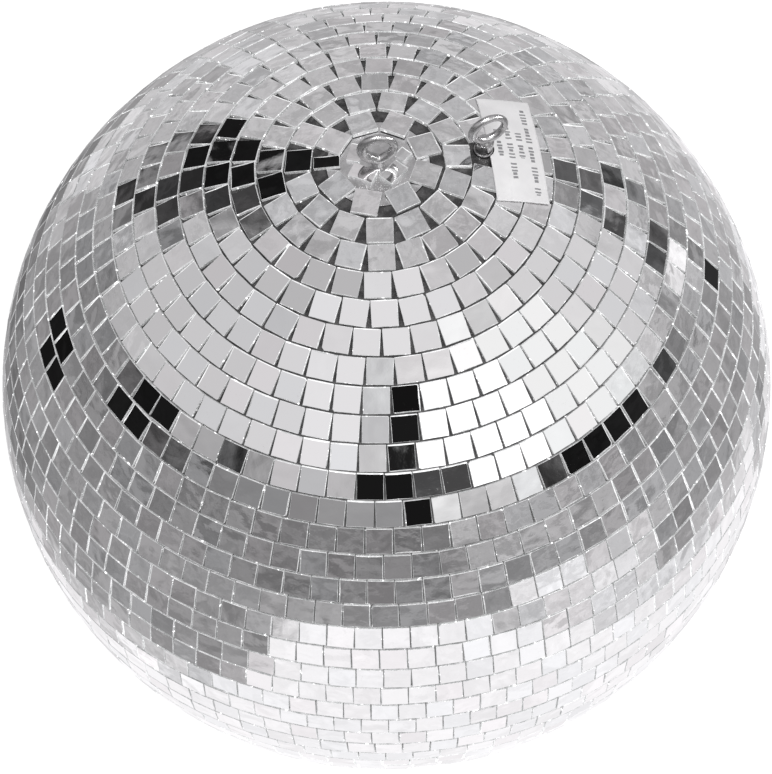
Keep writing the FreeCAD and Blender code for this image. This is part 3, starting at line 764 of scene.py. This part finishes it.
def build_label():
    """Thin curved sheet of paper, notched round the collar, its far end lifting a little."""
    facing = label_facing()
    hole = label_hole(facing)
    rng = random.Random("label")
    waves = [
        (rng.uniform(*WAVE_RATE), rng.uniform(0, math.tau), rng.uniform(0, math.tau))
        for _ in range(WAVES)
    ]
    columns, rows = LABEL_COLUMNS, LABEL_ROWS_OF_FACES
    bm = bmesh.new()
    uv_layer = bm.loops.layers.uv.new("label")
    grid, inside = {}, {}
    for i in range(columns + 1):
        for j in range(rows + 1):
            flat = Vector(((i / columns - 0.5) * LABEL_WIDTH, (j / rows - 0.5) * LABEL_LENGTH))
            # points inside the notch are moved out to its edge
            offset = flat - hole
            inside[i, j] = offset.length < LABEL_NOTCH
            if offset.length < LABEL_NOTCH * 1.0001:
                flat = hole + offset.normalized() * LABEL_NOTCH
            radius = LABEL_RADIUS + label_lift(flat, facing, waves)
            local = Vector((flat.x, flat.y, math.sqrt(radius ** 2 - flat.length_squared)))
            grid[i, j] = bm.verts.new(CENTRE + facing @ local)
    for i in range(columns):
        for j in range(rows):
            corners = ((i, j), (i + 1, j), (i + 1, j + 1), (i, j + 1))
            if all(inside[corner] for corner in corners):
                continue
            face = bm.faces.new([grid[corner] for corner in corners])
            face.smooth = True
            for loop, (column, row) in zip(face.loops, corners):
                loop[uv_layer].uv = (column / columns, row / rows)
    loose = [vert for vert in bm.verts if not vert.link_faces]
    bmesh.ops.delete(bm, geom=loose, context="VERTS")
    piece = make_piece("safety_label_paper", bm, (PAPER,), "safety_label")
    thick = piece.modifiers.new("thickness", "SOLIDIFY")
    thick.thickness = PAPER_THICK
    thick.offset = 1.0


build_label()


# ---------------------------------------------------------------- surroundings

# Patches of the studio that the mirrors show: azimuth from the front towards +X,
# elevation, half width, half height, turn, softness (degrees), grey on the screen.
STUDIO_WALLS = [
    (-30, 3, 92, 17, 0, 6, 131),        # dim far side of the room
    (68, -8, 52, 22, 0, 8, 152),
    (38, 6, 22, 13, 0, 6, 172),
    (10, 76, 72, 12, 0, 5, 222),        # bright ceiling
    (-112, 34, 20, 26, 0, 6, 190),      # side wall
    (-98, 33, 12, 24, 0, 3, 190),       # left softboxes, edge by edge
    (-76, 38, 14, 21, 0, 3, 199),
    (-48, 44, 15, 19, 0, 3, 211),
    (-22, 46, 14, 17, 0, 3, 226),
    (104, 32, 18, 26, 0, 7, 208),       # edge of the main softbox
    (-165, -8, 24, 36, 0, 10, 192),     # pale wall behind on the left
    (-152, -28, 9, 7, 0, 6, 206),
    (-142, -44, 22, 7, -8, 5, 122),     # dark foot of that wall
    (-118, -57, 24, 3, 0, 3, 196),
    (156, -8, 28, 36, 0, 10, 180),      # grey wall behind on the right
    (166, -32, 18, 12, 0, 8, 206),
    (92, -48, 34, 8, 0, 5, 214),        # pale cloth low on the right
    (52, -32, 20, 13, 0, 6, 216),
    (158, -50, 13, 7, 0, 5, 236),
    (40, -18, 12, 4, 0, 2, 240),
    (-24, -28, 8, 8, 0, 4, 205),
]
# Lights: the same columns, but the last is the brightness, where 1 is white
STUDIO_LIGHTS = [
    (24, 42, 27, 17, 0, 3, 0.99),       # main softbox
    (48, 41, 12, 24, 0, 3, 0.99),
    (38, 33, 25, 15, 0, 6, 1.7),
    (70, 34, 18, 23, 0, 5, 0.86),
    (-163, 22, 0.5, 0.5, 0, 1.2, 22.0), # bare lamp behind
]
# Dark things with paler parts
CLUTTER = [
    (-144, 43, 15, 8, -6, 2, 24),       # dark doorway behind on the left
    (-140, 24, 12, 13, -6, 2, 24),
    (-128, 38, 5, 12, 0, 3, 60),
    (-138, 7, 8, 7, 0, 2, 30),
    (127, 22, 9, 6, 0, 3, 92),          # things behind on the right
    (118, 17, 4, 4, 0, 2, 74),
    (131, 9, 3, 7, 0, 2, 56),
    (120, 3, 5, 3, 0, 2, 58),
    (123, -19, 3, 4, 0, 2, 46),
    (-61, 12, 3, 3, 0, 2, 40),          # small things under the softboxes
    (46, 13, 3.5, 4, 0, 2, 34),
    (94, 1, 5, 3, -14, 2, 70),
    (18, 26, 10, 4.2, 0, 1.5, 70),
]
# Plain things in front of all the others
STANDS = [
    (117, -6, 5, 5, 0, 2, 240),         # a white thing on the right
    (-130, 44, 6, 6, 0, 2, 66),         # more of the dark things behind on the left
    (-130, 19, 5, 5, 0, 2, 60),
    (-116, 24, 3, 3, 0, 2, 40),
    (-156, 49, 8, 4.5, 0, 1.5, 26),     # corner of the doorway
    (-112, -18, 6.5, 7, 12, 1.5, 24),   # black rim of the softboxes, left to right
    (-81, 8, 14, 5.5, 24, 2, 24),
    (64, 9, 11, 4.6, -14, 1.5, 24),
    (-46, 21, 5, 4, 0, 2, 28),
    (76, 6, 9, 4.2, -16, 1.5, 34),
    (9, 51, 6.5, 4, 0, 1.5, 20),        # camera and its stand
    (5.5, 43, 9, 3.4, 0, 1.5, 26),
    (4.5, 35, 3, 4, 0, 1.5, 30),
    (-3, 26, 10, 4, 0, 1.5, 24),
    (8, 17, 4, 4, 0, 1.5, 22),
]
# The room without patches: elevation, grey on the screen
ROOM_SHADES = [
    (-90, 240), (-63, 242), (-57, 200), (-50, 152), (-35, 145), (-10, 150), (5, 162),
    (15, 186), (35, 190), (62, 180), (90, 184),
]
STUDIO_LIGHT = 1.10
BACKDROP_LIGHT = 1.02
WOBBLE = 0.035                      # how crooked the patches' outlines are
WHITE = (1, 1, 1, 1)
PAPER_GREY = 243
PALER_GREY = 142
# White paper on the ground, on a plane one unit under the ball: its left and right edges
# and how much further out they are per unit to the front, then its front and back ends
PAPER_LEFT = -0.44
PAPER_LEFT_FLARE = -0.26
PAPER_RIGHT = 0.78
PAPER_RIGHT_FLARE = 0.10
PAPER_FRONT = (2.3, 2.6)
PAPER_BACK = (-0.60, -0.45)


def room_shades(tree, elevation):
    """The room's grey by elevation."""
    ramp = tree.add("ShaderNodeValToRGB")
    tree.put(ramp.inputs[0], tree.math("DIVIDE", tree.math("ADD", elevation, 90.0), 180.0))
    stops = ramp.color_ramp.elements
    while len(stops) < len(ROOM_SHADES):
        stops.new(0.5)
    for stop, (height, value) in zip(stops, ROOM_SHADES):
        stop.position = (height + 90) / 180
        stop.color = grey(value)
    return ramp.outputs[0]


def paper_mask(tree, direction, elevation):
    """1 where the white paper on the ground is seen from the ball."""
    x, y, z = direction
    depth = tree.math("MAXIMUM", tree.math("MULTIPLY", z, -1.0), 0.001)
    ahead = tree.math("DIVIDE", tree.math("MULTIPLY", y, -1.0), depth)
    aside = tree.math("DIVIDE", x, depth)
    front = tree.math("MAXIMUM", ahead, 0.0)
    left_edge = tree.math("MULTIPLY_ADD", front, PAPER_LEFT_FLARE, PAPER_LEFT)
    right_edge = tree.math("MULTIPLY_ADD", front, PAPER_RIGHT_FLARE, PAPER_RIGHT)
    return tree.product((
        tree.fade(tree.math("SUBTRACT", aside, left_edge), -0.03, 0.03),
        tree.fade(tree.math("SUBTRACT", aside, right_edge), -0.06, 0.06, 1.0, 0.0),
        tree.fade(ahead, *PAPER_FRONT, 1.0, 0.0),
        tree.fade(ahead, *PAPER_BACK),
        tree.fade(elevation, -14.0, -10.0, 1.0, 0.0),
    ))


def add_patches(tree, heading, picture, items, colour_of):
    """Lays soft turned rectangles over the picture. heading is azimuth and elevation."""
    azimuth, elevation = heading
    for middle, height, half_width, half_height, turn, soft, value in items:
        across = tree.math("WRAP", tree.math("SUBTRACT", azimuth, middle), 180.0, -180.0)
        up = tree.math("SUBTRACT", elevation, height)
        cosine = math.cos(math.radians(turn))
        sine = math.sin(math.radians(turn))
        along_width = tree.math(
            "ADD", tree.math("MULTIPLY", across, cosine), tree.math("MULTIPLY", up, sine)
        )
        along_height = tree.math(
            "SUBTRACT", tree.math("MULTIPLY", up, cosine), tree.math("MULTIPLY", across, sine)
        )
        outside = tree.math(
            "MAXIMUM",
            tree.math("SUBTRACT", tree.math("ABSOLUTE", along_width), half_width),
            tree.math("SUBTRACT", tree.math("ABSOLUTE", along_height), half_height),
        )
        inside = tree.fade(outside, -soft, soft, 1.0, 0.0)
        picture = tree.mix(inside, picture, colour_of(value))
    return picture


def fine_structure(tree, direction, heading, paper):
    """Mottling low down and behind, less of it on the paper, streaks in the middle band."""
    azimuth, elevation = heading
    mottle = tree.noise(direction, 60.0, 4.0, 0.65)
    stretched = tree.vector("MULTIPLY", direction, (1.0, 1.0, 4.0))
    streak = tree.noise(stretched, 18.0, 4.0, 0.65, 1.0)
    band = tree.product((
        tree.fade(elevation, -24.0, -14.0),
        tree.fade(elevation, 8.0, 16.0, 1.0, 0.0),
    ))
    lower = tree.fade(elevation, 10.0, 16.0, 1.0, 0.0)
    rear = tree.fade(tree.math("ABSOLUTE", azimuth), 105.0, 125.0)
    on_walls = tree.fade(mottle, 0.32, 0.68, 0.70, 1.24)
    on_paper = tree.fade(mottle, 0.30, 0.70, 0.90, 1.08)
    on_band = tree.fade(streak, 0.32, 0.68, 0.62, 1.30)
    gain = tree.mix(tree.math("MAXIMUM", lower, rear), WHITE, on_walls)
    gain = tree.mix(paper, gain, on_paper)
    return tree.mix(band, gain, on_band)


def build_world():
    """A room seen only in the mirrors; the camera itself sees a plain pale backdrop."""
    world = bpy.data.worlds.new("studio")
    bpy.context.scene.world = world
    world.use_nodes = True
    tree = Tree(world.node_tree)
    direction = tree.add("ShaderNodeTexCoord").outputs["Generated"]
    drift = tree.noise(direction, 6.0, 2.0, 0.5, output="Color")
    centred = tree.vector("SUBTRACT", drift, (0.5, 0.5, 0.5))
    crooked = tree.vector("MULTIPLY", centred, (WOBBLE, WOBBLE, WOBBLE))
    bent = tree.split(tree.vector("NORMALIZE", tree.vector("ADD", direction, crooked)))
    x, y, z = bent
    azimuth = tree.math("DEGREES", tree.math("ARCTAN2", x, tree.math("MULTIPLY", y, -1.0)))
    elevation = tree.math("DEGREES", tree.math("ARCSINE", z))
    heading = (azimuth, elevation)
    paper = paper_mask(tree, bent, elevation)
    lumps = tree.noise(direction, 10.0, 2.0, 0.6)
    paler = tree.fade(lumps, 0.54, 0.60)

    room = room_shades(tree, elevation)
    room = add_patches(tree, heading, room, STUDIO_WALLS, grey)
    room = tree.mix(paper, room, grey(PAPER_GREY))
    room = add_patches(
        tree, heading, room, STUDIO_LIGHTS, lambda power: (power, power, power, 1.0)
    )
    room = add_patches(
        tree, heading, room, CLUTTER, lambda value: tree.mix(paler, grey(value), grey(PALER_GREY))
    )
    room = add_patches(tree, heading, room, STANDS, grey)
    gain = fine_structure(tree, direction, heading, paper)

    mirrors = tree.add("ShaderNodeBackground")
    tree.put(mirrors.inputs[0], tree.mix(1.0, room, gain, "MULTIPLY"))
    mirrors.inputs[1].default_value = STUDIO_LIGHT
    backdrop = tree.add("ShaderNodeBackground")
    backdrop.inputs[0].default_value = WHITE
    backdrop.inputs[1].default_value = BACKDROP_LIGHT
    mixer = tree.add("ShaderNodeMixShader")
    tree.put(mixer.inputs[0], tree.add("ShaderNodeLightPath").outputs["Is Camera Ray"])
    tree.put(mixer.inputs[1], mirrors.outputs[0])
    tree.put(mixer.inputs[2], backdrop.outputs[0])
    output = tree.add("ShaderNodeOutputWorld")
    tree.put(output.inputs[0], mixer.outputs[0])


FLOOR_REACH = 3.0
FLOOR_COLOUR = (0.45, 0.45, 0.45, 1)
FLOOR_GLOW = 0.80


def build_floor():
    """Plain pale floor that the ball rests on, not seen in the mirrors."""
    bm = bmesh.new()
    bmesh.ops.create_circle(bm, cap_ends=True, segments=96, radius=FLOOR_REACH)
    bmesh.ops.translate(bm, verts=bm.verts, vec=(0, 0, FLOOR_HEIGHT))
    material = bpy.data.materials.new("floor")
    material.use_nodes = True
    tree = Tree(material.node_tree)
    matt = tree.add("ShaderNodeBsdfDiffuse")
    matt.inputs[0].default_value = FLOOR_COLOUR
    glow = tree.add("ShaderNodeEmission")
    glow.inputs[0].default_value = WHITE
    glow.inputs[1].default_value = FLOOR_GLOW
    both = tree.add("ShaderNodeAddShader")
    tree.put(both.inputs[0], matt.outputs[0])
    tree.put(both.inputs[1], glow.outputs[0])
    output = tree.add("ShaderNodeOutputMaterial")
    tree.put(output.inputs[0], both.outputs[0])
    floor = make_mesh("floor", bm, (material,))
    floor.visible_glossy = False
    floor.visible_diffuse = False


# ----------------------------------------------------------------------- lamps

SOFT_LAMP_PLACE = Vector((0.5, -1.2, 1.6))      # from the ball's centre
SOFT_LAMP_SIZE = 1.4
SOFT_LAMP_WATTS = 14.0
# Small lamps: name, azimuth and elevation, watts, size in metres
GLINTS = [
    ("glint_top", (5, 80), 14.0, 0.20),
    ("glint_right", (95, 20), 8.0, 0.26),
]
GLINT_DISTANCE = 1.2
BETWEEN_EYES = Vector((0.02, 0, 0))


def add_lamp(name, aim, away, watts, size):
    """Round lamp at a distance and direction away from what it shines at."""
    lamp = bpy.data.lights.new(name, "AREA")
    lamp.shape = "DISK"
    lamp.size = size
    lamp.energy = watts
    holder = bpy.data.objects.new(name, lamp)
    holder.location = aim + away
    holder.rotation_euler = away.to_track_quat("Z", "Y").to_euler()
    bpy.context.scene.collection.objects.link(holder)
    return holder


def build_lamps():
    """A large soft lamp right of the camera, and two small ones that only light the eyes and
    the collar, for the bright lines on the wire."""
    soft = add_lamp("soft_lamp", CENTRE, SOFT_LAMP_PLACE, SOFT_LAMP_WATTS, SOFT_LAMP_SIZE)
    soft.visible_glossy = False
    eyes = bpy.data.collections.new("eyes")
    for name in ("hanging_eye_forged", "safety_eye_forged"):
        eyes.objects.link(bpy.data.objects[name])
    eyes.objects.link(NODES["safety_eye_collar"])
    for name, angles, watts, size in GLINTS:
        azimuth, elevation = (math.radians(angle) for angle in angles)
        flat = math.cos(elevation)
        away = Vector((math.sin(azimuth) * flat, -math.cos(azimuth) * flat, math.sin(elevation)))
        glint = add_lamp(name, BETWEEN_EYES, away * GLINT_DISTANCE, watts, size)
        glint.light_linking.receiver_collection = eyes


# ---------------------------------------------------------------------- camera

CAMERA_DISTANCE = 2.61                      # from the ball's centre
CAMERA_ELEVATION = math.radians(55.8)
CAMERA_ROLL = math.radians(2.2)
CAMERA_LENS = 321.0                         # millimetres, as is the sensor's width
CAMERA_SENSOR = 36.0
AIM_OFFSET = Vector((-0.00019, -0.00057))   # the ball sits a little off the frame's middle


def build_camera():
    """Long lens looking down at the ball, level but for a small roll."""
    data = bpy.data.cameras.new("camera")
    data.lens = CAMERA_LENS
    data.sensor_width = CAMERA_SENSOR
    camera = bpy.data.objects.new("camera", data)
    bpy.context.scene.collection.objects.link(camera)
    back = Vector((0, -math.cos(CAMERA_ELEVATION), math.sin(CAMERA_ELEVATION)))
    level = Vector((1, 0, 0))
    rise = back.cross(level)
    right = level * math.cos(CAMERA_ROLL) - rise * math.sin(CAMERA_ROLL)
    up = level * math.sin(CAMERA_ROLL) + rise * math.cos(CAMERA_ROLL)
    place = CENTRE + back * CAMERA_DISTANCE + right * AIM_OFFSET.x + up * AIM_OFFSET.y
    camera.matrix_world = Matrix((
        (right.x, up.x, back.x, place.x),
        (right.y, up.y, back.y, place.y),
        (right.z, up.z, back.z, place.z),
        (0, 0, 0, 1),
    ))
    bpy.context.scene.camera = camera


build_world()
build_floor()
build_lamps()
build_camera()
bpy.context.scene.view_settings.view_transform = "Standard"
